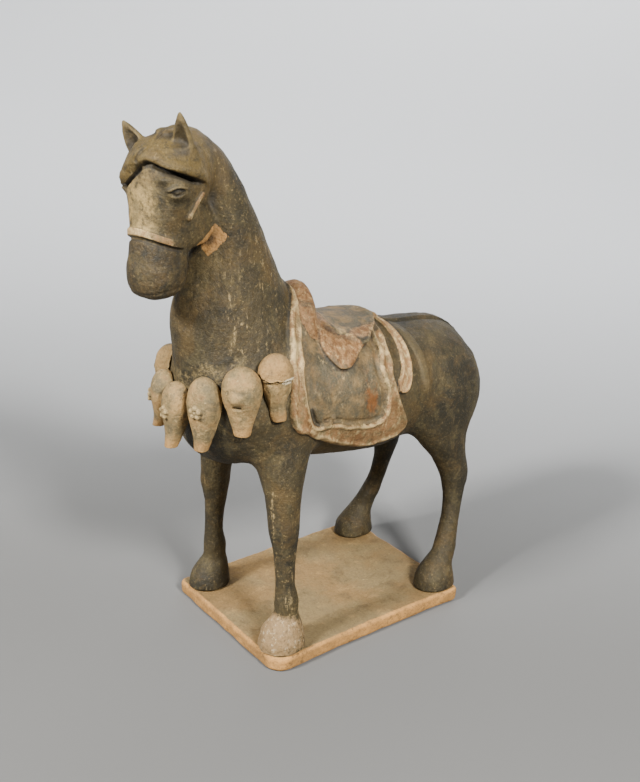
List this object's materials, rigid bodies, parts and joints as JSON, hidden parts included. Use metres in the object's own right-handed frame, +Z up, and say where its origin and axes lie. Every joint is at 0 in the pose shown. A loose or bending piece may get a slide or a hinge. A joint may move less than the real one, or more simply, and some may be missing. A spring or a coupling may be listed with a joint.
{
  "type": "pottery tomb horse",
  "caption": "Saddled pottery tomb horse standing square on a thin rectangular clay slab, with a collar of moulded tassel pendants round its chest.",
  "frame": {"origin": "centre of the slab's underside", "axes": "+Z up, the horse faces -Y and its own left side is +X"},
  "size_m": [0.12, 0.2524, 0.3345],
  "materials": {
    "bare_clay": "unglazed buff clay, worn and stained, with orange bare clay on its edges",
    "olive_slip": "dull olive-brown slip with pale scratches and flecks of burial crust",
    "pale_slip": "matt buff slip over grey clay, worn and stained"
  },
  "bodies": {
    "root": {"base_slab": "bare_clay", "horse": "olive_slip", "collar_pendant_1": "pale_slip", "collar_pendant_2": "pale_slip", "collar_pendant_3": "pale_slip", "collar_pendant_4": "pale_slip", "collar_pendant_5": "pale_slip", "collar_pendant_6": "pale_slip", "collar_pendant_7": "pale_slip"}
  },
  "joints": []
}
